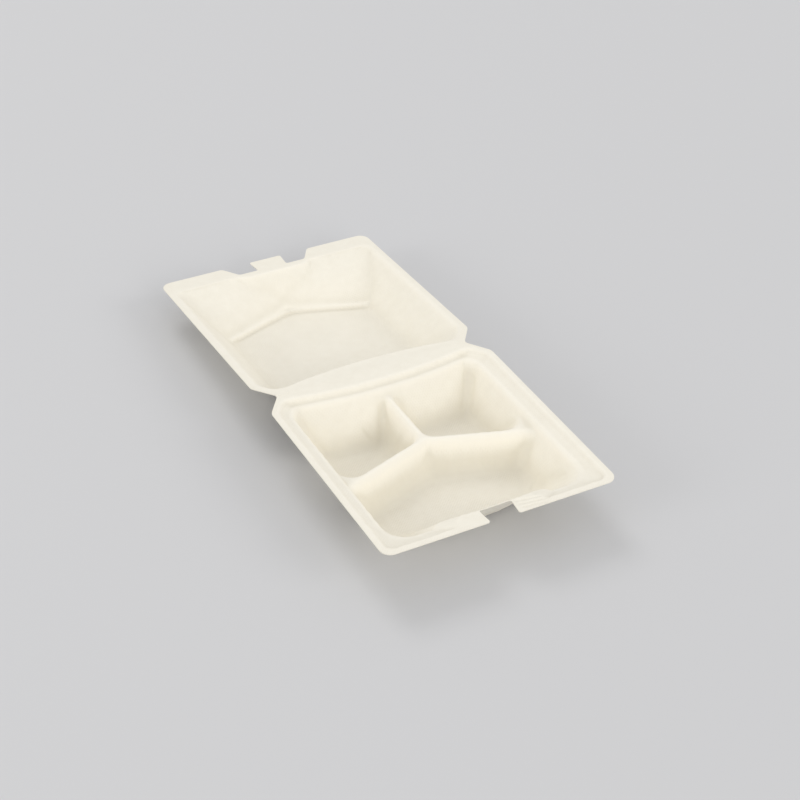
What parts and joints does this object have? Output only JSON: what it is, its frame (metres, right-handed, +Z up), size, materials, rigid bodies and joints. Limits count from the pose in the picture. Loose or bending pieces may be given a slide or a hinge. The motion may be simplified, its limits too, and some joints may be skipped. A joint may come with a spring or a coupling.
{
  "type": "hinged compartment food container",
  "caption": "Open pressed-pulp clamshell meal box: a tray with divided compartments, a hinged dished lid with a chevron step, and a tab-and-notch lock at the front rim.",
  "frame": {"origin": "on the table, below the middle of the crease between tray and lid", "axes": "+X along the crease, +Y from the crease towards the opened lid, +Z up; the tray lies towards -Y"},
  "size_m": [0.228, 0.4695, 0.0475],
  "materials": {
    "tray_pulp": "matt ivory plant-fibre pulp with a faint wire-mesh grain",
    "lid_pulp": "matt ivory plant-fibre pulp with a faint wire-mesh grain"
  },
  "bodies": {
    "tray": {"base_tray": "tray_pulp"},
    "lid": {"lid": "lid_pulp"}
  },
  "joints": [
    {"name": "lid_hinge", "type": "hinge", "parent": "tray", "child": "lid", "pos_m": [0, 0, 0.0477], "axis": [1, 0, 0], "range_deg": [0, 183.8]}
  ]
}
